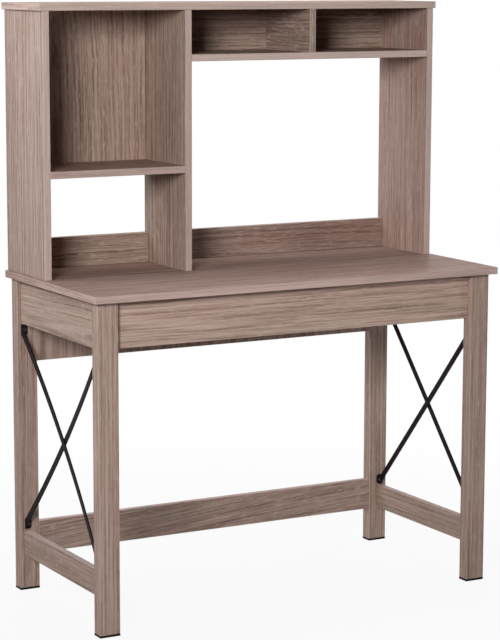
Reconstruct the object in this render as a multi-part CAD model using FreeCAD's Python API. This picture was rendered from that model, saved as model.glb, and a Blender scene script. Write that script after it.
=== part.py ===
import FreeCAD, Part
import math
import os

# Student desk with an open hutch, made of melamine-faced boards on four square legs.
# Millimetres, +X to the sitter's right, +Y to the back, +Z up.
# The origin is on the floor, under the middle of the desktop.

# Boards
board = 16.0
back_panel = 3.0
edge_ease = 0.8

# Desk
desk_width = 1030.0
desk_depth = 488.0
desk_height = 750.0
end_overhang = 13.0
front_overhang = 17.5
back_overhang = 6.5
leg_width = 48.0
leg_depth = 30.0
apron_height = 104.0
rear_apron_height = 194.0
side_recess = 9.0
rail_lift = 85.0
side_rail_height = 58.0
rear_rail_height = 76.0

# Feet
foot_height = 5.0
foot_lip = 0.5
foot_ease = 1.0
foot_stem_radius = 5.0
foot_stem_length = 18.0

# Hutch
hutch_depth = 212.0
hutch_inset = 7.0
left_bay_width = 334.0
left_shelf_rise = 241.0
long_shelf_rise = 492.5
cubby_height = 99.5
back_rail_height = 70.0
back_setback = 1.0
rebate = 6.0

# Crossed braces of flat steel bar, one pair in each side frame
brace_width = 13.0
brace_thickness = 3.0
brace_inset = 9.0
brace_gap = 0.2
left_brace_bow = 11.0
right_brace_bow = 1.0
tab_width = 15.0
tab_height = 24.0
tab_corner = 6.0
tab_gap = 3.0

# Cam fittings: a bolt in one piece is drawn into a lock in the other
cam_radius = 7.5
cam_depth = 12.0
cam_setback = 0.5
cam_reach = 35.0
bolt_radius = 3.0
bolt_grip = 11.0
cover_radius = 8.5
cover_thickness = 0.8

# Dowels and screws
dowel_radius = 4.0
dowel_face_depth = 10.0
dowel_end_depth = 20.0
screw_radius = 2.5
screw_head_radius = 5.0
screw_head_height = 3.0
screw_bite = 34.0
brace_screw_radius = 2.0
brace_screw_head_radius = 4.2
brace_screw_head_height = 2.2
brace_screw_length = 19.0

# Fits
fit = 0.1
end_gap = 0.5
panel_fit = 0.2
overrun = 5.0

# Places of the fasteners, as shares of the edge that they stand on
pair_shares = (0.28, 0.72)
rear_rail_cam_shares = (0.36, 0.74)
desktop_cam_shares = (0.2, 0.8)
depth_shares = (0.22, 0.78)
left_rail_cam_share = 0.3
right_rail_cam_share = 0.7
hutch_screw_shares = (0.2, 0.75)
tab_screw_share = 0.55

# Hidden pins have few faces, and what shows has more
pin_sides = 6
cam_sides = 10
head_sides = 10
cover_sides = 16

# Directions
RIGHT = FreeCAD.Vector(1, 0, 0)
BACK = FreeCAD.Vector(0, 1, 0)
UP = FreeCAD.Vector(0, 0, 1)

# Places that follow from the sizes
desk_front = -desk_depth / 2
desk_back = desk_depth / 2
desk_under = desk_height - board
leg_out = desk_width / 2 - end_overhang
leg_in = leg_out - leg_width
front_leg_front = desk_front + front_overhang
front_leg_back = front_leg_front + leg_depth
rear_leg_back = desk_back - back_overhang
rear_leg_front = rear_leg_back - leg_depth
apron_bottom = desk_under - apron_height
side_rail_top = rail_lift + side_rail_height
side_out = leg_out - side_recess
side_in = side_out - board
hutch_front = desk_back - hutch_depth
hutch_out = desk_width / 2 - hutch_inset
hutch_in = hutch_out - board
divider_left = left_bay_width - hutch_in
divider_right = divider_left + board
left_shelf_top = desk_height + left_shelf_rise
long_shelf_top = desk_height + long_shelf_rise
hutch_under = long_shelf_top + cubby_height
hutch_over = hutch_under + board
cubby_middle = (divider_right + hutch_in) / 2
hutch_back = desk_back - back_setback
back_panel_face = hutch_back - back_panel

SIDES = {"left": -1, "right": 1}
BRACE_BOWS = {"left": left_brace_bow, "right": right_brace_bow}

bores = {}
hardware = {}


def mirrored(sign, outer, inner):
    """X span between two distances from the middle, on the side that the sign gives."""
    return tuple(sorted((sign * outer, sign * inner)))


def panel(x_span, y_span, z_span, ease=edge_ease):
    """Board between two corners, with its edges broken."""
    low, high = (FreeCAD.Vector(*corner) for corner in zip(x_span, y_span, z_span))
    size = high - low
    block = Part.makeBox(size.x, size.y, size.z, low)
    return block.makeChamfer(ease, block.Edges)


def prism(sides, radius, base, axis, length):
    """Regular prism along a line; the radius is measured to its flats."""
    first = RIGHT if abs(axis.dot(UP)) > abs(axis.dot(RIGHT)) else UP
    second = axis.cross(first)
    corner = radius / math.cos(math.pi / sides)
    points = []
    for step in range(sides):
        angle = math.pi * (2 * step + 1) / sides
        points.append(base + (first * math.cos(angle) + second * math.sin(angle)) * corner)
    return Part.Face(Part.makePolygon(points + points[:1])).extrude(axis * length)


def bore(node, tool):
    """Note a tool that is cut from a piece when the piece is made."""
    bores.setdefault(node, []).append(tool)


def fasten(group, solid):
    """Add a fastener to its group."""
    hardware.setdefault(group, []).append(solid)


def share_of(span, share):
    """Place at a share of a span."""
    return span[0] + (span[1] - span[0]) * share


def middle_of(span):
    """Place halfway along a span."""
    return (span[0] + span[1]) / 2


def cam_fitting(assembly, member, neighbour, point, inward, face):
    """Cam lock in a member, the bolt that it draws from its neighbour, and its cover."""
    reach = bolt_grip + end_gap + cam_reach + end_gap
    channel = prism(pin_sides, bolt_radius + fit, point - inward * (bolt_grip + end_gap), inward, reach)
    surface = point + inward * cam_reach + face * (board / 2)
    depth = cam_setback + cam_depth
    bore(neighbour, channel)
    bore(member, channel)
    bore(member, prism(cam_sides, cam_radius + fit, surface + face * overrun, -face, depth + overrun))
    lock = prism(cam_sides, cam_radius, surface - face * cam_setback, -face, cam_depth)
    bolt = prism(pin_sides, bolt_radius, point - inward * bolt_grip, inward, bolt_grip + cam_reach)
    fasten(assembly + "_cam_locks", lock.cut(channel))
    fasten(assembly + "_cam_bolts", bolt)
    fasten(assembly + "_cam_covers", prism(cover_sides, cover_radius, surface, face, cover_thickness))


def dowel(assembly, member, neighbour, point, inward):
    """Dowel between the end of a member and the face of its neighbour."""
    start = point - inward * dowel_face_depth
    length = dowel_face_depth + dowel_end_depth
    room = prism(pin_sides, dowel_radius + fit, start - inward * end_gap, inward, length + 2 * end_gap)
    bore(member, room)
    bore(neighbour, room)
    fasten(assembly + "_dowels", prism(pin_sides, dowel_radius, start, inward, length))


def screw(point, inward, head_radius, head_height, shank_radius, length):
    """Screw whose head lies behind the point and whose shank runs in from it."""
    head = prism(head_sides, head_radius, point - inward * head_height, inward, head_height)
    shank = prism(pin_sides, shank_radius, point, inward, length)
    return head.fuse(shank).removeSplitter()


def leg_nodes():
    """Leg boards by node name."""
    legs = {}
    for side, sign in SIDES.items():
        x_span = mirrored(sign, leg_out, leg_in)
        legs[f"front_{side}_leg"] = (x_span, (front_leg_front, front_leg_back), (foot_height, desk_under))
        legs[f"rear_{side}_leg"] = (x_span, (rear_leg_front, rear_leg_back), (foot_height, desk_under))
    return legs


def frame_nodes():
    """Desktop, aprons and rails by node name."""
    between_legs = (-leg_in, leg_in)
    rear_y = (rear_leg_front, rear_leg_front + board)
    side_y = (front_leg_back, rear_leg_front)
    apron_z = (apron_bottom, desk_under)
    nodes = {
        "desk_top": ((-desk_width / 2, desk_width / 2), (desk_front, desk_back), (desk_under, desk_height)),
        "front_apron": (between_legs, (front_leg_back - board, front_leg_back), apron_z),
        "rear_apron": (between_legs, rear_y, (desk_under - rear_apron_height, desk_under)),
        "rear_lower_rail": (between_legs, rear_y, (rail_lift, rail_lift + rear_rail_height)),
    }
    for side, sign in SIDES.items():
        x_span = mirrored(sign, side_out, side_in)
        nodes[f"{side}_side_apron"] = (x_span, side_y, apron_z)
        nodes[f"{side}_lower_rail"] = (x_span, side_y, (rail_lift, side_rail_top))
    return nodes


def hutch_nodes():
    """Hutch boards by node name."""
    deep = (hutch_front, desk_back)
    upright_z = (desk_height, hutch_under)
    left_bay = (-hutch_in, divider_left)
    right_bay = (divider_right, hutch_in)
    rail_y = (hutch_back - board, hutch_back)
    rail_z = (desk_height, desk_height + back_rail_height)
    cubby_x = (cubby_middle - board / 2, cubby_middle + board / 2)
    return {
        "hutch_top": ((-desk_width / 2, desk_width / 2), deep, (hutch_under, hutch_over)),
        "hutch_left_side": (mirrored(SIDES["left"], hutch_out, hutch_in), deep, upright_z),
        "hutch_right_side": (mirrored(SIDES["right"], hutch_out, hutch_in), deep, upright_z),
        "hutch_divider": ((divider_left, divider_right), deep, upright_z),
        "left_shelf": (left_bay, deep, (left_shelf_top - board, left_shelf_top)),
        "long_shelf": (right_bay, deep, (long_shelf_top - board, long_shelf_top)),
        "cubby_divider": (cubby_x, (hutch_front, back_panel_face), (long_shelf_top, hutch_under)),
        "left_back_rail": (left_bay, rail_y, rail_z),
        "right_back_rail": (right_bay, rail_y, rail_z),
    }


def back_panel_nodes():
    """Thin back panels of the hutch, set in rebates of the boards round them."""
    deep = (back_panel_face, hutch_back)
    left_x = (-hutch_in - rebate, divider_left + rebate)
    right_x = (divider_right - rebate, hutch_in + rebate)
    return {
        "left_back_panel": (left_x, deep, (left_shelf_top - rebate, hutch_under + rebate)),
        "cubby_back_panel": (right_x, deep, (long_shelf_top - rebate, hutch_under + rebate)),
    }


def grown(span, margin):
    """Span made longer at both ends."""
    return (span[0] - margin, span[1] + margin)


def cut_rebates(panels):
    """Rebates for the back panels, open to the back."""
    carriers = {
        "left_back_panel": ("hutch_left_side", "hutch_divider", "hutch_top", "left_shelf"),
        "cubby_back_panel": ("hutch_right_side", "hutch_divider", "hutch_top", "long_shelf"),
    }
    for node, (x_span, y_span, z_span) in panels.items():
        room_x = grown(x_span, panel_fit)
        room_z = grown(z_span, panel_fit)
        low = FreeCAD.Vector(room_x[0], y_span[0], room_z[0])
        deep = back_panel + back_setback + overrun
        room = Part.makeBox(room_x[1] - room_x[0], deep, room_z[1] - room_z[0], low)
        for carrier in carriers[node]:
            bore(carrier, room)


def join_cross_members(boards):
    """Cam fittings at the ends of the members between the two side frames."""
    members = {
        "front_apron": ("front", BACK, pair_shares),
        "rear_apron": ("rear", -BACK, pair_shares),
        "rear_lower_rail": ("rear", -BACK, rear_rail_cam_shares),
    }
    for node, (row, face, shares) in members.items():
        _, y_span, z_span = boards[node]
        middle = middle_of(y_span)
        for side, sign in SIDES.items():
            for share in shares:
                point = FreeCAD.Vector(sign * leg_in, middle, share_of(z_span, share))
                cam_fitting("frame", node, f"{row}_{side}_leg", point, RIGHT * -sign, face)


def join_side_frames(boards):
    """Dowels between the legs and the aprons and rails of each side frame."""
    for side in SIDES:
        for node in (f"{side}_side_apron", f"{side}_lower_rail"):
            x_span, y_span, z_span = boards[node]
            for row, place, inward in (("front", y_span[0], BACK), ("rear", y_span[1], -BACK)):
                for share in pair_shares:
                    point = FreeCAD.Vector(middle_of(x_span), place, share_of(z_span, share))
                    dowel("frame", node, f"{row}_{side}_leg", point, inward)


def join_desktop(boards):
    """Cam fittings from the aprons, and a dowel on each leg, up into the desktop."""
    for node, face in (("front_apron", BACK), ("rear_apron", -BACK)):
        x_span, y_span, _ = boards[node]
        for share in desktop_cam_shares:
            point = FreeCAD.Vector(share_of(x_span, share), middle_of(y_span), desk_under)
            cam_fitting("frame", node, "desk_top", point, -UP, face)
    for node, (x_span, y_span, _) in leg_nodes().items():
        point = FreeCAD.Vector(middle_of(x_span), middle_of(y_span), desk_under)
        dowel("frame", node, "desk_top", point, -UP)


def join_hutch(boards):
    """Cam fittings, dowels and screws of the hutch."""
    uprights = {"hutch_left_side": RIGHT, "hutch_divider": RIGHT, "hutch_right_side": -RIGHT}
    for node, face in uprights.items():
        x_span, y_span, _ = boards[node]
        for share in depth_shares:
            point = FreeCAD.Vector(middle_of(x_span), share_of(y_span, share), hutch_under)
            cam_fitting("hutch", node, "hutch_top", point, -UP, face)
        for share in hutch_screw_shares:
            fix_upright(node, middle_of(x_span), share_of(y_span, share))
    bays = {"left": ("hutch_left_side", "hutch_divider"), "long": ("hutch_divider", "hutch_right_side")}
    for bay, neighbours in bays.items():
        join_shelf(boards, f"{bay}_shelf", neighbours)
    rails = {
        "left_back_rail": (bays["left"], left_rail_cam_share),
        "right_back_rail": (bays["long"], right_rail_cam_share),
    }
    for node, (neighbours, share) in rails.items():
        x_span, y_span, z_span = boards[node]
        for end, neighbour in enumerate(neighbours):
            inward = -RIGHT if end else RIGHT
            point = FreeCAD.Vector(x_span[end], middle_of(y_span), share_of(z_span, share))
            cam_fitting("hutch", node, neighbour, point, inward, BACK)
    x_span, y_span, z_span = boards["cubby_divider"]
    for share in depth_shares:
        foot = FreeCAD.Vector(middle_of(x_span), share_of(y_span, share), z_span[0])
        head = FreeCAD.Vector(foot.x, foot.y, z_span[1])
        dowel("hutch", "cubby_divider", "long_shelf", foot, UP)
        dowel("hutch", "cubby_divider", "hutch_top", head, -UP)


def join_shelf(boards, node, neighbours):
    """Cam fitting near the front and dowel near the back at each end of a shelf."""
    x_span, y_span, z_span = boards[node]
    front, rear = (share_of(y_span, share) for share in depth_shares)
    for end, neighbour in enumerate(neighbours):
        inward = -RIGHT if end else RIGHT
        height = middle_of(z_span)
        cam_fitting("hutch", node, neighbour, FreeCAD.Vector(x_span[end], front, height), inward, -UP)
        dowel("hutch", node, neighbour, FreeCAD.Vector(x_span[end], rear, height), inward)


def fix_upright(node, x, y):
    """Screw from below the desktop up into the end of an upright."""
    seat = FreeCAD.Vector(x, y, desk_under + screw_head_height)
    length = board - screw_head_height + screw_bite
    shank_room = prism(pin_sides, screw_radius + fit, seat - UP * overrun, UP, length + overrun + end_gap)
    head_room = prism(head_sides, screw_head_radius + fit, seat, -UP, screw_head_height + overrun)
    bore("desk_top", shank_room)
    bore("desk_top", head_room)
    bore(node, shank_room)
    fasten("hutch_screws", screw(seat, UP, screw_head_radius, screw_head_height, screw_radius, length))


def foot_pad(leg, x_span, y_span):
    """Moulded pad under a leg, with a stem pressed up into the leg."""
    plate = panel(grown(x_span, foot_lip), grown(y_span, foot_lip), (0, foot_height), foot_ease)
    base = FreeCAD.Vector(middle_of(x_span), middle_of(y_span), foot_height)
    depth = foot_stem_length + overrun + end_gap
    bore(leg, prism(pin_sides, foot_stem_radius + fit, base - UP * overrun, UP, depth))
    return plate.fuse(prism(pin_sides, foot_stem_radius, base, UP, foot_stem_length)).removeSplitter()


def brace_strip(start, end, bow):
    """Flat bar between two points of the leg faces, sprung sideways by its bow, with upright ends."""
    half = RIGHT * (brace_thickness / 2)
    middle = (start + end) / 2 + RIGHT * bow
    near = Part.Arc(start - half, middle - half, end - half).toShape()
    far = Part.Arc(end + half, middle + half, start + half).toShape()
    closing = (Part.makeLine(end - half, end + half), Part.makeLine(start + half, start - half))
    run = end - start
    rise = brace_width * run.Length / abs(run.dot(BACK))
    face = Part.Face(Part.Wire([near, closing[0], far, closing[1]]))
    face.translate(UP * (-rise / 2))
    return face.extrude(UP * rise)


def brace_tab(outer, inward, height, face_y, outward):
    """Tab folded in from the end of a bar, flat on the face of a leg, with rounded free corners."""
    x_span = sorted((outer, outer + inward * tab_width))
    y_span = sorted((face_y, face_y + outward * brace_thickness))
    low = FreeCAD.Vector(x_span[0], y_span[0], height - tab_height / 2)
    plate = Part.makeBox(tab_width, brace_thickness, tab_height, low)
    free_x = outer + inward * tab_width
    free_edges = []
    for edge in plate.Edges:
        along_y = edge.BoundBox.YLength > max(edge.BoundBox.XLength, edge.BoundBox.ZLength)
        if along_y and abs(edge.CenterOfMass.x - free_x) < fit:
            free_edges.append(edge)
    return plate.makeFillet(tab_corner, free_edges)


def brace(side, layer, high_row, low_row):
    """One bar of a crossed pair, from high on one leg to low on the other, with its screws."""
    sign = SIDES[side]
    outer = sign * (leg_out - brace_inset - layer * (brace_thickness + brace_gap))
    middle_x = outer - sign * brace_thickness / 2
    faces = {"front": (front_leg_back, 1), "rear": (rear_leg_front, -1)}
    high = apron_bottom - tab_gap - tab_height / 2
    low = side_rail_top + tab_gap + tab_height / 2
    ends = []
    tabs = []
    tools = []
    for row, height in ((high_row, high), (low_row, low)):
        face_y, outward = faces[row]
        ends.append(FreeCAD.Vector(middle_x, face_y, height))
        tabs.append(brace_tab(outer, -sign, height, face_y, outward))
        screw_x = outer - sign * tab_width * tab_screw_share
        seat = FreeCAD.Vector(screw_x, face_y + outward * brace_thickness, height)
        inward = BACK * -outward
        depth = brace_screw_length + overrun + end_gap
        room = prism(pin_sides, brace_screw_radius + fit, seat - inward * overrun, inward, depth)
        tools.append(room)
        bore(f"{row}_{side}_leg", room)
        sizes = (brace_screw_head_radius, brace_screw_head_height, brace_screw_radius, brace_screw_length)
        fasten("brace_screws", screw(seat, inward, *sizes))
    strip = brace_strip(ends[0], ends[1], BRACE_BOWS[side])
    return strip.fuse(tabs).removeSplitter().cut(tools)


def build():
    """Every node of the desk by name."""
    boards = {**frame_nodes(), **leg_nodes(), **hutch_nodes()}
    panels = back_panel_nodes()
    shapes = {node: panel(*spans) for node, spans in boards.items()}
    for node, (x_span, y_span, z_span) in panels.items():
        size = FreeCAD.Vector(x_span[1] - x_span[0], back_panel, z_span[1] - z_span[0])
        shapes[node] = Part.makeBox(size.x, size.y, size.z, FreeCAD.Vector(x_span[0], y_span[0], z_span[0]))
    join_cross_members(boards)
    join_side_frames(boards)
    join_desktop(boards)
    join_hutch(boards)
    cut_rebates(panels)
    for leg, (x_span, y_span, _) in leg_nodes().items():
        shapes[leg.replace("leg", "foot")] = foot_pad(leg, x_span, y_span)
    for side in SIDES:
        shapes[f"{side}_outer_brace"] = brace(side, 0, "rear", "front")
        shapes[f"{side}_inner_brace"] = brace(side, 1, "front", "rear")
    for node, tools in bores.items():
        shapes[node] = shapes[node].cut(tools)
    for group, solids in hardware.items():
        shapes[group] = Part.makeCompound(solids)
    return shapes


os.makedirs("parts", exist_ok=True)
for name, shape in build().items():
    shape.exportStep(f"parts/{name}.step")
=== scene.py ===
import math
import random

import bmesh
import bpy
from mathutils import Matrix, Vector


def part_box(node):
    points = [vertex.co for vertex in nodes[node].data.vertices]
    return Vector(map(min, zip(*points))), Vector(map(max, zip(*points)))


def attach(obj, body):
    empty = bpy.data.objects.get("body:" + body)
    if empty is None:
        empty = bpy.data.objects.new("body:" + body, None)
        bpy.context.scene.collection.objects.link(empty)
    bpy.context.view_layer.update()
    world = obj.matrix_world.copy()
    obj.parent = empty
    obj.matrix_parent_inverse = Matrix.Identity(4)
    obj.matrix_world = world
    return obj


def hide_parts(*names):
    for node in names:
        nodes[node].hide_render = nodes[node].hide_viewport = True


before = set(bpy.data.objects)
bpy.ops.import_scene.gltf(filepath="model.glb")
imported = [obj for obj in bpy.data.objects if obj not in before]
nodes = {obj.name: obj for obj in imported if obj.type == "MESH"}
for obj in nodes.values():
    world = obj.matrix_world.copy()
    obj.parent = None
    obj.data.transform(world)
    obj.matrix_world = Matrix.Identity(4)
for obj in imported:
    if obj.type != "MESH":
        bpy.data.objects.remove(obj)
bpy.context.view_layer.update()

# Looks of a student desk with hutch: board prints, small fittings, studio and camera, in metres
scene = bpy.context.scene
X, Y, Z = 0, 1, 2
MM = 0.001
WHITE = (1.0, 1.0, 1.0, 1.0)

# Grain direction of each board
GRAIN = {
    "desk_top": X, "hutch_top": X, "front_apron": X, "rear_lower_rail": X, "long_shelf": X,
    "left_shelf": X, "left_back_rail": X, "right_back_rail": X, "cubby_back_panel": X,
    "left_side_apron": Y, "right_side_apron": Y, "left_lower_rail": Y, "right_lower_rail": Y,
    "cubby_divider": Y,
    "front_left_leg": Z, "front_right_leg": Z, "rear_left_leg": Z, "rear_right_leg": Z,
    "hutch_left_side": Z, "hutch_right_side": Z, "hutch_divider": Z, "left_back_panel": Z,
    "rear_apron": Z,
}
LEGS = ("front_left_leg", "front_right_leg", "rear_left_leg", "rear_right_leg")

# Figure of a board's face: how far the grain wanders and ripples in metres, how far aside and how
# deep the heart of its rings lies, how steeply they rise along the board, how many there are in a
# metre, how strong rings, streaks, flecks and broad bands show, and how far the grain slants
STRAIGHT = dict(
    wander=0.010, ripple=0.001, aside=0.5, depth=0.05, slope=0.0, waves=170.0,
    rings=0.75, streaks=0.7, flecks=0.9, broad=0.8, slant=0.0,
)
PLAIN = dict(
    STRAIGHT, wander=0.012, ripple=0.002, waves=190.0, rings=0.55, streaks=0.8, flecks=0.6, broad=0.6,
)
QUIET = dict(STRAIGHT, waves=200.0, rings=0.65, streaks=0.62, broad=0.9)
BANDED = dict(STRAIGHT, waves=65.0, streaks=0.4, flecks=0.4, broad=1.2)
WAVY = dict(STRAIGHT, wander=0.020, ripple=0.004, waves=210.0, streaks=0.65, flecks=1.3, broad=0.6)
LINED = dict(
    STRAIGHT, wander=0.024, ripple=0.003, aside=0.06, depth=0.03, slope=0.03, waves=165.0,
    rings=0.7, streaks=0.55, broad=1.0,
)
SWEPT = dict(
    LINED, ripple=0.002, waves=190.0, rings=0.8, streaks=0.65, flecks=1.0, broad=0.8, slant=0.09,
)
CATHEDRAL = dict(
    STRAIGHT, wander=0.030, ripple=0.007, aside=0.0, depth=0.02, slope=0.10,
    rings=0.7, flecks=1.5, broad=0.7,
)
FIGURE = {
    "desk_top": PLAIN, "hutch_top": PLAIN, "left_back_panel": CATHEDRAL, "left_side_apron": LINED,
    "left_back_rail": WAVY, "front_apron": WAVY, "rear_lower_rail": SWEPT, "cubby_back_panel": WAVY,
    "cubby_divider": WAVY, "left_lower_rail": LINED, "right_lower_rail": LINED,
    "right_side_apron": CATHEDRAL, "right_back_rail": LINED, "front_left_leg": QUIET,
    "front_right_leg": QUIET, "rear_left_leg": QUIET, "rear_right_leg": QUIET, "hutch_right_side": QUIET,
    "rear_apron": BANDED,
}


class Graph:
    """Node tree of a material, with short calls for what the materials here are made of."""

    # Places of the colour sockets on Blender's mix node
    MIX_FIRST = 6
    MIX_SECOND = 7
    MIX_RESULT = 2

    BEVEL_SAMPLES = 6

    def __init__(self, name):
        self.material = bpy.data.materials.new(name)
        self.material.use_nodes = True
        self.tree = self.material.node_tree
        self.tree.nodes.clear()
        self.output = self.add("ShaderNodeOutputMaterial")

    def add(self, kind, **settings):
        node = self.tree.nodes.new(kind)
        for key, value in settings.items():
            setattr(node, key, value)
        return node

    def feed(self, socket, value):
        """Link a socket to another one, or set a constant on it."""
        if isinstance(value, bpy.types.NodeSocket):
            self.tree.links.new(value, socket)
        else:
            socket.default_value = value

    def math(self, operation, first, second=0.0):
        node = self.add("ShaderNodeMath", operation=operation)
        self.feed(node.inputs[0], first)
        self.feed(node.inputs[1], second)
        return node.outputs[0]

    def plus(self, *terms):
        total = terms[0]
        for term in terms[1:]:
            total = self.math("ADD", total, term)
        return total

    def times(self, first, second):
        return self.math("MULTIPLY", first, second)

    def around_zero(self, noise, amount):
        """A noise value moved to swing round zero by an amount."""
        return self.times(self.math("SUBTRACT", noise, 0.5), amount)

    def split(self, vector):
        node = self.add("ShaderNodeSeparateXYZ")
        self.feed(node.inputs[0], vector)
        return list(node.outputs)

    def vector(self, x, y, z):
        node = self.add("ShaderNodeCombineXYZ")
        for socket, value in zip(node.inputs, (x, y, z)):
            self.feed(socket, value)
        return node.outputs[0]

    def object_place(self):
        """Place of a point in the piece's own coordinates."""
        return self.add("ShaderNodeTexCoord").outputs["Object"]

    def noise(self, place, scale=1.0, detail=2.0, roughness=0.5):
        node = self.add("ShaderNodeTexNoise", noise_dimensions="3D")
        self.feed(node.inputs["Vector"], place)
        node.inputs["Scale"].default_value = scale
        node.inputs["Detail"].default_value = detail
        node.inputs["Roughness"].default_value = roughness
        return node.outputs[0]

    def line_noise(self, place):
        """Noise along a line, one wave to a unit of length."""
        node = self.add("ShaderNodeTexNoise", noise_dimensions="1D")
        self.feed(node.inputs["W"], place)
        node.inputs["Scale"].default_value = 1.0
        node.inputs["Detail"].default_value = 2.0
        node.inputs["Roughness"].default_value = 0.5
        return node.outputs[0]

    def spread(self, value, low, high, to_low, to_high):
        """Smooth step from one value to another while the input runs from low to high."""
        node = self.add("ShaderNodeMapRange", interpolation_type="SMOOTHSTEP")
        for socket, entry in zip(node.inputs, (value, low, high, to_low, to_high)):
            self.feed(socket, entry)
        return node.outputs[0]

    def ramp(self, factor, stops):
        node = self.add("ShaderNodeValToRGB")
        elements = node.color_ramp.elements
        while len(elements) < len(stops):
            elements.new(0.5)
        for element, (position, colour) in zip(elements, stops):
            element.position = position
            element.color = (*colour, 1.0)
        self.feed(node.inputs[0], factor)
        return node.outputs[0]

    def mix(self, factor, first, second, blend="MIX"):
        node = self.add("ShaderNodeMix", data_type="RGBA", blend_type=blend)
        self.feed(node.inputs[0], factor)
        for socket, value in ((self.MIX_FIRST, first), (self.MIX_SECOND, second)):
            self.feed(node.inputs[socket], (*value, 1.0) if isinstance(value, tuple) else value)
        return node.outputs[self.MIX_RESULT]

    def bump(self, height, strength, distance, normal=None):
        node = self.add("ShaderNodeBump")
        node.inputs["Strength"].default_value = strength
        node.inputs["Distance"].default_value = distance
        self.feed(node.inputs["Height"], height)
        if normal:
            self.feed(node.inputs["Normal"], normal)
        return node.outputs[0]

    def rounded(self, radius):
        """Normal of a surface whose sharp edges shade as if rounded."""
        node = self.add("ShaderNodeBevel", samples=self.BEVEL_SAMPLES)
        node.inputs["Radius"].default_value = radius
        return node.outputs[0]

    def edge_distance(self, size):
        """Metres from a point of a board's surface to the board's nearest edge."""
        generated = self.split(self.add("ShaderNodeTexCoord").outputs["Generated"])
        reach = []
        for share, length in zip(generated, size):
            nearer = self.math("MINIMUM", share, self.math("SUBTRACT", 1.0, share))
            reach.append(self.times(nearer, length))
        low = self.math("MINIMUM", reach[X], reach[Y])
        high = self.math("MAXIMUM", reach[X], reach[Y])
        return self.math("MAXIMUM", low, self.math("MINIMUM", high, reach[Z]))

    def finish(self, **sockets):
        """Principled surface whose sockets are given by name, with spaces written as underscores."""
        shader = self.add("ShaderNodeBsdfPrincipled")
        for name, value in sockets.items():
            self.feed(shader.inputs[name.replace("_", " ")], value)
        self.feed(self.output.inputs["Surface"], shader.outputs[0])
        return self.material


# Tones of the oak print, from its dark pores to its pale streaks
OAK = (
    (0.0, (0.150, 0.092, 0.072)),
    (0.30, (0.275, 0.183, 0.150)),
    (0.50, (0.384, 0.268, 0.226)),
    (0.72, (0.468, 0.340, 0.290)),
    (1.0, (0.568, 0.434, 0.380)),
)
MIDDLE_TONE = 0.5
PALE_FLECK = (0.57, 0.45, 0.39)
DARK_PORE = (0.55, 0.48, 0.44)
OLIVE_CAST = (0.94, 1.0, 0.95)
ROSY_CAST = (1.0, 0.90, 0.89)

# Waves per metre of the print's layers, along and across the grain
WANDER_WAVES = (1.3, 7.0)
RIPPLE_WAVES = (17.0, 40.0)
BROAD_WAVES = (1.4, 16.0)
CAST_WAVES = (2.2, 45.0)
STREAK_WAVES = (4.5, 180.0)
FLECK_WAVES = (40.0, 430.0)
FIBRE_WAVES = (26.0, 800.0)
PORE_WAVES = (60.0, 2200.0)

# How strongly the layers change the print
RING_AMOUNT = 0.36
STREAK_AMOUNT = 0.52
FIBRE_AMOUNT = 0.40
BROAD_AMOUNT = 0.45
CAST_AMOUNT = 0.75
FLECK_AMOUNT = 0.55
PORE_AMOUNT = 0.30

# Noise values between which a layer sets in
LINE_ONSET = (0.34, 0.66)
CAST_ONSET = (0.38, 0.64)
FLECK_ONSET = (0.56, 0.70)
PORE_ONSET = (0.60, 0.74)
FIBRE_ONSET = (0.3, 0.7)

# Widest random shifts: of the layers in metres, of the rings in waves, and of the rings' heart as
# shares of the board's width and length
LAYER_SHIFT = 40.0
RING_SHIFT = 900.0
HEART_ASIDE_SHARE = 0.3
HEART_ALONG_SHARE = 0.4

# Cosine that tells which way a face looks
FACING_COSINE = 0.6

# Pale bands on the boards' narrow faces, and how much of their colour shows
EDGE_BAND = (0.82, 0.66, 0.605)
EDGE_BAND_SHARE = 0.40
SHELF_BAND_SHARE = 0.62
END_BAND_SHARE = 0.08

# Edges: how far they are rounded, where a painted highlight lies along them and how unevenly, and how much
# duller they are there
EDGE_ROUND = 1.2 * MM
PAINTED_EDGE_HIGHLIGHT = (0.60, 0.475, 0.41)
HIGHLIGHT_FROM = 0.5 * MM
HIGHLIGHT_TO = 2.2 * MM
HIGHLIGHT_UNEVENNESS = 1.2 * MM
HIGHLIGHT_WAVES = 90.0
HIGHLIGHT_AMOUNT = 0.42
EDGE_DULLNESS = 0.06

# Relief of the print: height shares of its layers, strength and depth
FIBRE_HEIGHT_SHARE = 0.5
PORE_HEIGHT_SHARE = -0.8
STREAK_HEIGHT_SHARE = 0.4
RELIEF_STRENGTH = 0.25
RELIEF_DEPTH = 0.4 * MM

# Specular level and roughness of the boards' melamine, where they differ from it, and how far the
# roughness swings
MELAMINE_SHEEN = (0.012, 0.50)
SHEEN = {
    "desk_top": (0.001, 0.45), "hutch_top": (0.05, 0.6), "left_back_panel": (0.02, 0.6),
    "cubby_back_panel": (0.02, 0.6),
}
DULLNESS_SWING = 0.05

# Boards scaled lighter as painted light where they should catch more light, and darker as painted shade
# where they sit in shade, on top of their own tone; and boards whose print is rosier than the rest
BOARD_TONE_AND_PAINTED_LIGHT = {
    "front_apron": 1.28, "hutch_top": 1.07, "desk_top": 1.01, "left_shelf": 0.88, "right_back_rail": 0.84,
    "left_back_panel": 1.09, "hutch_divider": 0.91, "hutch_right_side": 0.97, "front_left_leg": 1.13,
    "rear_left_leg": 1.05, "rear_right_leg": 1.06, "rear_apron": 1.08, "cubby_divider": 0.82,
    "cubby_back_panel": 0.98, "long_shelf": 0.94, "left_side_apron": 1.05, "left_lower_rail": 1.04,
}
ROSY = ("desk_top", "left_shelf", "right_back_rail", "hutch_right_side")


def lifted(colour, tone_and_painted_light):
    return tuple(channel * tone_and_painted_light for channel in colour)


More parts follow.
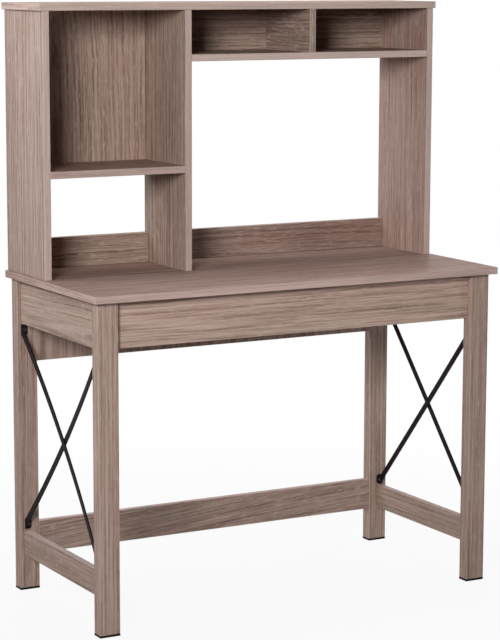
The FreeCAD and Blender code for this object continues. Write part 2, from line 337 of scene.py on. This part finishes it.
class Board:
    """Box of a board, with its axes along the grain, across it and through its thickness."""

    def __init__(self, node):
        self.low, self.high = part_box(node)
        self.size = self.high - self.low
        self.grain = GRAIN[node]
        others = [axis for axis in (X, Y, Z) if axis != self.grain]
        self.cross, self.flat = sorted(others, key=lambda axis: -self.size[axis])

    def near_middle(self, axis, draw, share):
        """Random place on an axis, away from the middle by a share of the length at most."""
        middle = (self.low[axis] + self.high[axis]) / 2
        return middle + draw.uniform(-share, share) * self.size[axis]


def growth_rings(g, board, figure, place, line, draw):
    """Rings round a heart that lies below the face and may rise along the board."""
    heart = board.near_middle(board.cross, draw, HEART_ASIDE_SHARE) - figure["aside"]
    start = board.near_middle(board.grain, draw, HEART_ALONG_SHARE)
    rise = g.plus(g.times(g.math("SUBTRACT", place[board.grain], start), figure["slope"]), figure["depth"])
    aside = g.math("SUBTRACT", line, heart)
    radius = g.math("SQRT", g.plus(g.times(aside, aside), g.times(rise, rise)))
    shift = draw.uniform(-RING_SHIFT, RING_SHIFT)
    return g.line_noise(g.plus(g.times(radius, figure["waves"]), shift))


def oak_board(node, seed, figure):
    """Grey-brown oak print on a board, running along its grain, with rounded edges that carry a painted
    highlight.
    """
    board = Board(node)
    draw = random.Random(seed)
    # Painted light and painted shade: the board's whole print, edge band included, is scaled by how much
    # light the board should catch
    tone_and_painted_light = BOARD_TONE_AND_PAINTED_LIGHT.get(node, 1.0)
    g = Graph("oak_" + node)

    # Place on the board along and across its grain, which turns on the end faces
    place = g.split(g.object_place())
    facing = g.split(g.add("ShaderNodeNewGeometry").outputs["True Normal"])
    on_end = g.math("GREATER_THAN", g.math("ABSOLUTE", facing[board.grain]), FACING_COSINE)
    swap = g.times(on_end, g.math("SUBTRACT", place[board.cross], place[board.grain]))
    along = g.plus(place[board.grain], swap, draw.uniform(-LAYER_SHIFT, LAYER_SHIFT))
    across = g.math("SUBTRACT", place[board.cross], swap)
    through = g.plus(place[board.flat], draw.uniform(-LAYER_SHIFT, LAYER_SHIFT))

    def layer(waves, sideways, detail, roughness=0.5, deep=True):
        """Noise drawn out along the grain, and through the board where it runs deep."""
        length, width = waves
        depth = g.times(through, width if deep else 1.0)
        spot = g.vector(g.times(along, length), g.times(sideways, width), depth)
        return g.noise(spot, detail=detail, roughness=roughness)

    # Lines of the grain, which wander and ripple and may slant
    wander = layer(WANDER_WAVES, across, detail=2, deep=False)
    ripple = layer(RIPPLE_WAVES, across, detail=1, deep=False)
    line = g.plus(across, g.around_zero(wander, figure["wander"]), g.around_zero(ripple, figure["ripple"]))
    if figure["slant"]:
        line = g.plus(line, g.times(place[board.grain], -figure["slant"]))
    strand = g.plus(line, draw.uniform(-LAYER_SHIFT, LAYER_SHIFT))

    # Tone and colour of the print
    rings = growth_rings(g, board, figure, place, line, draw)
    streaks = layer(STREAK_WAVES, strand, detail=3, roughness=0.65)
    fibres = layer(FIBRE_WAVES, strand, detail=2)
    tone = g.plus(
        MIDDLE_TONE,
        g.around_zero(g.spread(rings, *LINE_ONSET, 0.0, 1.0), RING_AMOUNT * figure["rings"]),
        g.around_zero(g.spread(streaks, *LINE_ONSET, 0.0, 1.0), STREAK_AMOUNT * figure["streaks"]),
        g.around_zero(fibres, FIBRE_AMOUNT),
        g.around_zero(layer(BROAD_WAVES, strand, detail=2), BROAD_AMOUNT * figure["broad"]),
    )
    colour = g.ramp(tone, [(stop, lifted(shade, tone_and_painted_light)) for stop, shade in OAK])
    cast = g.spread(layer(CAST_WAVES, strand, detail=1), *CAST_ONSET, 0.0, CAST_AMOUNT)
    colour = g.mix(cast, colour, ROSY_CAST if node in ROSY else OLIVE_CAST, "MULTIPLY")
    fleck_amount = FLECK_AMOUNT * figure["flecks"]
    fleck = g.spread(layer(FLECK_WAVES, strand, detail=1), *FLECK_ONSET, 0.0, fleck_amount)
    colour = g.mix(fleck, colour, PALE_FLECK)
    pore = g.spread(layer(PORE_WAVES, strand, detail=1), *PORE_ONSET, 0.0, 1.0)
    colour = g.mix(g.times(pore, PORE_AMOUNT), colour, DARK_PORE, "MULTIPLY")

    # Narrow faces carry a paler edge band, and end faces a fainter one
    if node not in LEGS:
        on_edge = g.math("LESS_THAN", g.math("ABSOLUTE", facing[board.flat]), FACING_COSINE)
        share = SHELF_BAND_SHARE if node == "long_shelf" else EDGE_BAND_SHARE
        band = g.plus(g.times(on_edge, share), g.times(on_end, END_BAND_SHARE - share))
        colour = g.mix(band, colour, lifted(EDGE_BAND, tone_and_painted_light))

    # Painted highlight along the edges, broken up unevenly
    highlight_breakup = g.noise(g.vector(*(g.times(axis, HIGHLIGHT_WAVES) for axis in place)), detail=3)
    reach = g.plus(g.edge_distance(board.size), g.around_zero(highlight_breakup, -HIGHLIGHT_UNEVENNESS))
    edge_highlight = g.spread(reach, HIGHLIGHT_FROM, HIGHLIGHT_TO, 1.0, 0.0)
    colour = g.mix(g.times(edge_highlight, HIGHLIGHT_AMOUNT), colour, PAINTED_EDGE_HIGHLIGHT)

    gloss, dullness = SHEEN.get(node, MELAMINE_SHEEN)
    swing = g.spread(fibres, *FIBRE_ONSET, dullness - DULLNESS_SWING, dullness + DULLNESS_SWING)
    rough = g.plus(swing, g.times(edge_highlight, EDGE_DULLNESS))
    height = g.plus(
        g.times(fibres, FIBRE_HEIGHT_SHARE),
        g.times(pore, PORE_HEIGHT_SHARE),
        g.times(streaks, STREAK_HEIGHT_SHARE),
    )
    normal = g.bump(height, RELIEF_STRENGTH, RELIEF_DEPTH, g.rounded(EDGE_ROUND))
    return g.finish(Base_Color=colour, Roughness=rough, Normal=normal, Specular_IOR_Level=gloss)


def mottled(name, patches, tones, dullness, relief, grit=None, **sockets):
    """Material whose tone and roughness follow soft patches, and its relief a grit or the patches."""
    g = Graph(name)
    place = g.object_place()
    patch = g.noise(place, **patches)
    grain = g.noise(place, **grit) if grit else patch
    return g.finish(
        Base_Color=g.ramp(patch, tones),
        Roughness=g.spread(patch, **dullness),
        Normal=g.bump(grain, **relief),
        **sockets,
    )


def powder_coat():
    """Black powder coat with its fine orange peel and paler rubbed spots."""
    return mottled(
        "black_powder_coat",
        patches=dict(scale=35.0, detail=4, roughness=0.65),
        tones=(
            (0.35, (0.013, 0.0095, 0.011)),
            (0.55, (0.018, 0.013, 0.015)),
            (0.80, (0.029, 0.021, 0.024)),
        ),
        dullness=dict(low=0.3, high=0.75, to_low=0.42, to_high=0.56),
        grit=dict(scale=900.0, detail=3),
        relief=dict(strength=0.3, distance=0.2 * MM),
        Specular_IOR_Level=0.03,
    )


def black_plastic():
    """Moulded black plastic with a fine spark-eroded texture and dusty scuffs."""
    return mottled(
        "black_moulded_plastic",
        patches=dict(scale=120.0, detail=4, roughness=0.7),
        tones=((0.4, (0.008, 0.008, 0.008)), (0.75, (0.02, 0.019, 0.018))),
        dullness=dict(low=0.3, high=0.8, to_low=0.5, to_high=0.72),
        grit=dict(scale=1800.0, detail=2),
        relief=dict(strength=0.35, distance=0.2 * MM),
        Specular_IOR_Level=0.08,
    )


def cap_plastic(name, tone_and_painted_light):
    """Grey-brown plastic of the cam covers, with a faint flow pattern."""
    return mottled(
        name,
        patches=dict(scale=160.0, detail=3, roughness=0.6),
        tones=((0.3, lifted((0.38, 0.290, 0.250), tone_and_painted_light)), (0.7, lifted((0.46, 0.360, 0.315), tone_and_painted_light))),
        dullness=dict(low=0.3, high=0.7, to_low=0.45, to_high=0.58),
        grit=dict(scale=2500.0, detail=2),
        relief=dict(strength=0.25, distance=0.1 * MM),
        Specular_IOR_Level=0.1,
    )


def zinc():
    """Cast zinc with a grainy skin and dull patches."""
    return mottled(
        "cast_zinc",
        patches=dict(scale=90.0, detail=3),
        tones=((0.3, (0.40, 0.40, 0.39)), (0.7, (0.62, 0.62, 0.60))),
        dullness=dict(low=0.3, high=0.7, to_low=0.34, to_high=0.52),
        grit=dict(scale=700.0, detail=4, roughness=0.6),
        relief=dict(strength=0.35, distance=0.2 * MM),
        Metallic=1.0,
    )


def black_oxide():
    """Screw steel with a black oxide skin, worn to grey in spots."""
    return mottled(
        "black_oxide_steel",
        patches=dict(scale=500.0, detail=4, roughness=0.7),
        tones=((0.45, (0.03, 0.03, 0.031)), (0.8, (0.12, 0.118, 0.115))),
        dullness=dict(low=0.3, high=0.8, to_low=0.5, to_high=0.34),
        relief=dict(strength=0.2, distance=0.1 * MM),
        Metallic=0.85,
    )


def beech():
    """Raw turned beech of the dowels, with fine flecks."""
    return mottled(
        "raw_beech",
        patches=dict(scale=600.0, detail=3),
        tones=((0.35, (0.42, 0.27, 0.15)), (0.6, (0.55, 0.38, 0.22))),
        dullness=dict(low=0.3, high=0.7, to_low=0.6, to_high=0.75),
        relief=dict(strength=0.3, distance=0.2 * MM),
    )


def dress(obj, material):
    obj.data.materials.clear()
    obj.data.materials.append(material)


# Painted shade: the hutch's covers are darkened to match the painted shade on the hutch boards
HUTCH_CAP_PAINTED_SHADE = 0.92
zinc_skin = zinc()
FITTINGS = (
    (("brace_screws", "hutch_screws"), black_oxide()),
    (("frame_cam_covers",), cap_plastic("frame_cap_plastic", 1.0)),
    (("hutch_cam_covers",), cap_plastic("hutch_cap_plastic", HUTCH_CAP_PAINTED_SHADE)),
    (("frame_cam_locks", "hutch_cam_locks", "frame_cam_bolts", "hutch_cam_bolts"), zinc_skin),
    (("frame_dowels", "hutch_dowels"), beech()),
    (("left_outer_brace", "left_inner_brace", "right_outer_brace", "right_inner_brace"), powder_coat()),
    (("front_left_foot", "front_right_foot", "rear_left_foot", "rear_right_foot"), black_plastic()),
)
materials = {name: material for names, material in FITTINGS for name in names}
for name, material in materials.items():
    dress(nodes[name], material)
for seed, name in enumerate(sorted(GRAIN)):
    dress(nodes[name], oak_board(name, seed, FIGURE.get(name, STRAIGHT)))


SAME_PLACE_DIGITS = 6


def solids_of(node):
    """Boxes of the separate solids of a CAD node, as pairs of corners."""
    mesh = nodes[node].data
    keys = {}
    ids = []
    for vertex in mesh.vertices:
        spot = tuple(round(length, SAME_PLACE_DIGITS) for length in vertex.co)
        ids.append(keys.setdefault(spot, len(keys)))
    group = list(range(len(keys)))

    def find(item):
        while group[item] != item:
            group[item] = group[group[item]]
            item = group[item]
        return item

    for face in mesh.polygons:
        first = find(ids[face.vertices[0]])
        for corner in face.vertices[1:]:
            group[find(ids[corner])] = first
    found = {}
    for spot, item in keys.items():
        found.setdefault(find(item), []).append(spot)
    boxes = []
    for spots in found.values():
        low = Vector(min(spot[axis] for spot in spots) for axis in (X, Y, Z))
        high = Vector(max(spot[axis] for spot in spots) for axis in (X, Y, Z))
        boxes.append((low, high))
    return sorted(boxes, key=lambda box: tuple(box[0]))


def scaled(shares, radius, height):
    """Profile points from shares of a radius and a height."""
    return [(across * radius, up * height) for across, up in shares]


def turned(profile, segments):
    """Closed solid turned about Z from points (radius, height); the first and last lie on the axis."""
    form = bmesh.new()
    rows = []
    for radius, height in profile:
        if radius == 0:
            rows.append([form.verts.new((0.0, 0.0, height))])
            continue
        row = []
        for step in range(segments):
            angle = 2 * math.pi * step / segments
            row.append(form.verts.new((radius * math.cos(angle), radius * math.sin(angle), height)))
        rows.append(row)
    for lower, upper in zip(rows, rows[1:]):
        for step in range(segments):
            after = (step + 1) % segments
            corners = (
                lower[step % len(lower)], lower[after % len(lower)],
                upper[after % len(upper)], upper[step % len(upper)],
            )
            form.faces.new(list(dict.fromkeys(corners)))
    bmesh.ops.recalc_face_normals(form, faces=form.faces)
    return form


def as_mesh(form, name):
    mesh = bpy.data.meshes.new(name)
    form.to_mesh(mesh)
    form.free()
    return mesh


# Cross recess of two bars: each is a box that lengthens upwards, in shares of the head's radius
BOX_CORNERS = ((-1, -1), (1, -1), (1, 1), (-1, 1))
BOX_FACES = ((3, 2, 1, 0), (4, 5, 6, 7), (0, 1, 5, 4), (1, 2, 6, 5), (2, 3, 7, 6), (3, 0, 4, 7))
RECESS_LOW_SHARE = 0.62
RECESS_HIGH_SHARE = 1.38
RECESS_REACH_SHARE = 0.50
RECESS_WIDTH_SHARE = 0.11
SCREW_SEGMENTS = 32


def cross_recessed(form, reach, width, depth, top):
    """The turned form with a tapered cross sunk into its top."""
    cutter = bmesh.new()
    for crosswise in (False, True):
        corners = []
        for height, share in ((top - depth, RECESS_LOW_SHARE), (top + depth, RECESS_HIGH_SHARE)):
            for x, y in BOX_CORNERS:
                place = Vector((x * reach * share, y * width, height))
                if crosswise:
                    place = Vector((place.y, -place.x, place.z))
                corners.append(cutter.verts.new(place))
        for face in BOX_FACES:
            cutter.faces.new([corners[index] for index in face])
    tool = bpy.data.objects.new("cross_tool", as_mesh(cutter, "cross_tool"))
    body = bpy.data.objects.new("cross_body", as_mesh(form, "cross_body"))
    for obj in (tool, body):
        scene.collection.objects.link(obj)
    cut = body.modifiers.new("cross", "BOOLEAN")
    cut.object = tool
    cut.operation = "DIFFERENCE"
    cut.solver = "EXACT"
    cut.use_self = True
    mesh = bpy.data.meshes.new_from_object(body.evaluated_get(bpy.context.evaluated_depsgraph_get()))
    for obj in (tool, body):
        bpy.data.objects.remove(obj)
    return mesh


def screw(shank_shares, shank, length, head_shares, radius, height, recess_share):
    """Screw that stands on its point, with the underside of its head at zero."""
    profile = scaled(shank_shares, shank, length) + scaled(head_shares, radius, height)
    reach = RECESS_REACH_SHARE * radius
    width = RECESS_WIDTH_SHARE * radius
    return cross_recessed(turned(profile, SCREW_SEGMENTS), reach, width, recess_share * height, height)


CRISP_ANGLE = math.radians(40)


def set_of(name, pattern, places, material, replaced=()):
    """One piece made of copies of a mesh, each at a point and with its Z turned to a direction."""
    form = bmesh.new()
    for place, axis in places:
        copy = pattern.copy()
        turn = Vector(axis).to_track_quat("Z", "Y").to_matrix().to_4x4()
        copy.transform(Matrix.Translation(place) @ turn)
        form.from_mesh(copy)
        bpy.data.meshes.remove(copy)
    piece = bpy.data.objects.new(name, as_mesh(form, name))
    scene.collection.objects.link(piece)
    piece.data.shade_smooth()
    rounding = piece.modifiers.new("crisp_edges", "EDGE_SPLIT")
    rounding.split_angle = CRISP_ANGLE
    dress(piece, material)
    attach(piece, "root")
    if replaced:
        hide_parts(*replaced)


# Cam covers: pressed caps with a rounded rim and a shallow dish
CAP_RADIUS = 8.5 * MM
CAP_HEIGHT = 0.8 * MM
CAP_SEGMENTS = 40
CAP_SHARES = (
    (0.0, 0.0), (1.0, 0.0), (1.0, 0.35), (0.975, 0.75), (0.92, 0.97),
    (0.86, 1.0), (0.78, 0.93), (0.60, 0.80), (0.30, 0.74), (0.0, 0.72),
)


def cap_side(axis, middle):
    """Sign of the free side of a cover, which follows from the board that carries it."""
    if axis == Z:
        return -1.0
    if axis == Y:
        front_or_hutch = middle.y < 0.0 or middle.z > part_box("desk_top")[1].z
        return 1.0 if front_or_hutch else -1.0
    return -1.0 if middle.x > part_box("cubby_divider")[0].x else 1.0


def cap_places(node):
    """Seat of each cover and the way that it faces, along the shortest side of its box."""
    places = []
    for low, high in solids_of(node):
        size = high - low
        axis = min((X, Y, Z), key=lambda a: size[a])
        middle = (low + high) / 2
        outward = Vector((0.0, 0.0, 0.0))
        outward[axis] = cap_side(axis, middle)
        places.append((middle - outward * (size[axis] / 2), outward))
    return places


cap = as_mesh(turned(scaled(CAP_SHARES, CAP_RADIUS, CAP_HEIGHT), CAP_SEGMENTS), "cap")
for node in ("frame_cam_covers", "hutch_cam_covers"):
    set_of(node.replace("covers", "caps"), cap, cap_places(node), materials[node], (node,))

# Brace screws: pan heads with a cross recess, on a shank that runs to a point
PAN_RADIUS = 4.2 * MM
PAN_HEIGHT = 2.2 * MM
PAN_SHANK = 2.0 * MM
PAN_LENGTH = 19.0 * MM
PAN_SHANK_SHARES = ((0.0, -1.0), (0.35, -0.93), (0.98, -0.80), (0.98, 0.0))
PAN_HEAD_SHARES = ((1.0, 0.0), (1.0, 0.30), (0.95, 0.58), (0.80, 0.82), (0.55, 0.95), (0.0, 1.0))
PAN_RECESS_SHARE = 0.60
pan_screw = screw(
    PAN_SHANK_SHARES, PAN_SHANK, PAN_LENGTH,
    PAN_HEAD_SHARES, PAN_RADIUS, PAN_HEIGHT, PAN_RECESS_SHARE,
)
pan_places = []
for low, high in solids_of("brace_screws"):
    middle = (low + high) / 2
    outward = 1.0 if middle.y < 0.0 else -1.0
    seat = high.y - PAN_HEIGHT if outward > 0 else low.y + PAN_HEIGHT
    pan_places.append(((middle.x, seat, middle.z), (0.0, outward, 0.0)))
set_of("brace_screw_set", pan_screw, pan_places, materials["brace_screws"], ("brace_screws",))

# Screws under the desktop: flat heads, flush in their counterbores
FLAT_RADIUS = 5.0 * MM
FLAT_HEIGHT = 3.0 * MM
FLAT_SHANK = 2.5 * MM
FLAT_SHANK_SHARES = ((0.0, -1.0), (0.35, -0.95), (0.98, -0.86), (0.98, 0.0))
FLAT_HEAD_SHARES = ((0.60, 0.12), (1.0, 0.75), (1.0, 0.92), (0.96, 1.0), (0.0, 1.0))
FLAT_RECESS_SHARE = 0.55
flat_length = max(high.z - low.z for low, high in solids_of("hutch_screws")) - FLAT_HEIGHT
flat_screw = screw(
    FLAT_SHANK_SHARES, FLAT_SHANK, flat_length,
    FLAT_HEAD_SHARES, FLAT_RADIUS, FLAT_HEIGHT, FLAT_RECESS_SHARE,
)
flat_places = []
for low, high in solids_of("hutch_screws"):
    middle = (low + high) / 2
    flat_places.append(((middle.x, middle.y, low.z + FLAT_HEIGHT), (0.0, 0.0, -1.0)))
set_of("hutch_screw_set", flat_screw, flat_places, materials["hutch_screws"], ("hutch_screws",))

# Nails that hold the back panels in their rebates
NAIL_RADIUS = 1.9 * MM
NAIL_HEIGHT = 0.5 * MM
NAIL_SHANK = 0.7 * MM
NAIL_LENGTH = 2.5 * MM
NAIL_EDGE = 3.2 * MM
NAIL_SPACING = 85.0 * MM
NAIL_SEGMENTS = 24
NAIL_SHANK_SHARES = ((0.0, -1.0), (1.0, -1.0), (1.0, 0.0))
NAIL_HEAD_SHARES = ((1.0, 0.0), (1.0, 0.45), (0.85, 0.80), (0.5, 1.0), (0.0, 1.0))


def steps_between(first, last):
    """Places from first to last, about a nail's spacing apart."""
    count = max(1, round((last - first) / NAIL_SPACING))
    return [first + (last - first) * step / count for step in range(count + 1)]


def nail_places(node):
    """Seat and direction of each nail round the back of a panel."""
    low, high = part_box(node)
    left, right = low.x + NAIL_EDGE, high.x - NAIL_EDGE
    bottom, top = low.z + NAIL_EDGE, high.z - NAIL_EDGE
    around = [(x, z) for z in (bottom, top) for x in steps_between(left, right)]
    around += [(x, z) for x in (left, right) for z in steps_between(bottom, top)[1:-1]]
    return [((x, high.y, z), (0.0, 1.0, 0.0)) for x, z in around]


nail_shank = scaled(NAIL_SHANK_SHARES, NAIL_SHANK, NAIL_LENGTH)
nail_head = scaled(NAIL_HEAD_SHARES, NAIL_RADIUS, NAIL_HEIGHT)
nail = as_mesh(turned(nail_shank + nail_head, NAIL_SEGMENTS), "nail")
nails = [spot for node in ("left_back_panel", "cubby_back_panel") for spot in nail_places(node)]
set_of("back_panel_nails", nail, nails, zinc_skin)


def soft_light(name, place, target, width, power, tint, height=None, beam=180.0):
    """Softbox that faces a point, square unless it has a height, with its beam narrowed to an angle."""
    lamp = bpy.data.lights.new(name, "AREA")
    lamp.shape = "RECTANGLE"
    lamp.size = width
    lamp.size_y = height or width
    lamp.energy = power
    lamp.color = tint
    lamp.spread = math.radians(beam)
    holder = bpy.data.objects.new(name, lamp)
    holder.location = place
    holder.rotation_euler = (Vector(target) - Vector(place)).to_track_quat("-Z", "Y").to_euler()
    scene.collection.objects.link(holder)


# Studio lamps, with powers in watts
WARM = (1.0, 0.985, 0.97)
COOL = (0.94, 0.98, 1.0)
SKY = (0.86, 0.93, 1.0)
DESK_MIDDLE = (0.0, 0.0, 0.8)
soft_light("key", (-3.01, -3.35, 2.09), (0.1, 0.0, 1.05), width=1.10, power=30.7, tint=WARM, beam=80.0)
soft_light("left_rear", (-2.60, 1.20, 1.85), (0.2, 0.1, 1.1), width=0.9, power=24.5, tint=SKY)
soft_light("left_high", (-2.20, 0.0, 2.0), (-0.5, 0.0, 1.3), width=0.6, power=1.2, tint=SKY, beam=60.0)
soft_light("left_near", (-0.95, 0.05, 1.75), (-0.5, 0.05, 1.3), width=0.3, power=0.18, tint=SKY, beam=60.0)
soft_light("right", (2.70, -1.60, 1.40), DESK_MIDDLE, width=0.9, power=14, tint=COOL)
soft_light("right_side", (3.0, 0.70, 1.05), (0.5, 0.0, 0.8), width=0.9, power=12, tint=COOL)
soft_light("top", (0.0, 0.35, 3.2), DESK_MIDDLE, width=0.9, power=5, tint=WARM)
soft_light("top_right", (0.90, 0.30, 3.0), DESK_MIDDLE, width=0.9, power=18, tint=WARM)
soft_light("top_rear", (0.0, 0.90, 3.2), DESK_MIDDLE, width=0.9, power=14, tint=COOL)
soft_light("far_right", (2.29, 2.67, 1.16), (0.5, 0.0, 0.75), width=0.5, power=0.8, tint=COOL, beam=60.0)
soft_light("rear", (0.40, 3.0, 0.55), (0.0, 0.2, 0.8), width=1.2, height=0.9, power=32, tint=COOL)


def seen_directly(tree):
    """Factor that is 1 for rays from the camera and for what shows in gloss and glass."""
    path = tree.nodes.new("ShaderNodeLightPath")
    total = path.outputs["Is Camera Ray"]
    for name in ("Is Glossy Ray", "Is Transmission Ray"):
        node = tree.nodes.new("ShaderNodeMath")
        node.operation = "MAXIMUM"
        tree.links.new(total, node.inputs[0])
        tree.links.new(path.outputs[name], node.inputs[1])
        total = node.outputs[0]
    return total


AMBIENT = 0.01


def studio_world():
    """Faint even light from all round, with a white backdrop where the world is seen."""
    world = bpy.data.worlds.new("studio")
    scene.world = world
    world.use_nodes = True
    tree = world.node_tree
    tree.nodes.clear()
    ambient = tree.nodes.new("ShaderNodeBackground")
    ambient.inputs["Color"].default_value = WHITE
    ambient.inputs["Strength"].default_value = AMBIENT
    backdrop = tree.nodes.new("ShaderNodeBackground")
    backdrop.inputs["Color"].default_value = WHITE
    backdrop.inputs["Strength"].default_value = 1.0
    choice = tree.nodes.new("ShaderNodeMixShader")
    output = tree.nodes.new("ShaderNodeOutputWorld")
    tree.links.new(seen_directly(tree), choice.inputs[0])
    tree.links.new(ambient.outputs[0], choice.inputs[1])
    tree.links.new(backdrop.outputs[0], choice.inputs[2])
    tree.links.new(choice.outputs[0], output.inputs["Surface"])


# Floor: half its side, its grey, how white it shows near the desk, and where it fades to full white
FLOOR_REACH = 9.0
FLOOR_GREY = (0.62, 0.62, 0.62, 1.0)
FLOOR_WHITE_SHARE = 0.93
FADE_FROM = 0.6
FADE_TO = 2.0


def white_floor():
    """Pale floor that takes a soft shadow near the desk and fades into the white backdrop."""
    form = bmesh.new()
    bmesh.ops.create_grid(form, x_segments=1, y_segments=1, size=FLOOR_REACH)
    floor = bpy.data.objects.new("floor", as_mesh(form, "floor"))
    scene.collection.objects.link(floor)
    g = Graph("pale_floor")
    place = g.split(g.object_place())
    away = g.math("SQRT", g.plus(g.times(place[X], place[X]), g.times(place[Y], place[Y])))
    share = g.times(g.spread(away, FADE_FROM, FADE_TO, FLOOR_WHITE_SHARE, 1.0), seen_directly(g.tree))
    matt = g.add("ShaderNodeBsdfDiffuse")
    matt.inputs["Color"].default_value = FLOOR_GREY
    glow = g.add("ShaderNodeEmission")
    glow.inputs["Color"].default_value = WHITE
    glow.inputs["Strength"].default_value = 1.0
    blend = g.add("ShaderNodeMixShader")
    g.feed(blend.inputs[0], share)
    g.feed(blend.inputs[1], matt.outputs[0])
    g.feed(blend.inputs[2], glow.outputs[0])
    g.feed(g.output.inputs["Surface"], blend.outputs[0])
    dress(floor, g.material)


studio_world()
white_floor()

# Camera, fitted to the photograph: place, turn to the right, tilt down, roll and focal length
CAMERA_PLACE = Vector((-2.47723, -4.44891, 1.43275))
CAMERA_YAW = math.radians(29.03)
CAMERA_PITCH = math.radians(8.96)
CAMERA_ROLL = math.radians(0.15)
FOCAL_PIXELS = 2225.44
IMAGE_HEIGHT = 640
SENSOR_MM = 36.0

ahead = Vector((
    math.sin(CAMERA_YAW) * math.cos(CAMERA_PITCH),
    math.cos(CAMERA_YAW) * math.cos(CAMERA_PITCH),
    -math.sin(CAMERA_PITCH),
))
level = Vector((math.cos(CAMERA_YAW), -math.sin(CAMERA_YAW), 0.0))
upright = level.cross(ahead)
right = level * math.cos(CAMERA_ROLL) + upright * math.sin(CAMERA_ROLL)
up = upright * math.cos(CAMERA_ROLL) - level * math.sin(CAMERA_ROLL)
lens = bpy.data.cameras.new("camera")
lens.sensor_fit = "AUTO"
lens.sensor_width = SENSOR_MM
lens.lens = FOCAL_PIXELS * SENSOR_MM / IMAGE_HEIGHT
camera = bpy.data.objects.new("camera", lens)
turn = Matrix((right, up, -ahead)).transposed()
camera.matrix_world = Matrix.Translation(CAMERA_PLACE) @ turn.to_4x4()
scene.collection.objects.link(camera)
scene.camera = camera

scene.view_settings.view_transform = "Standard"
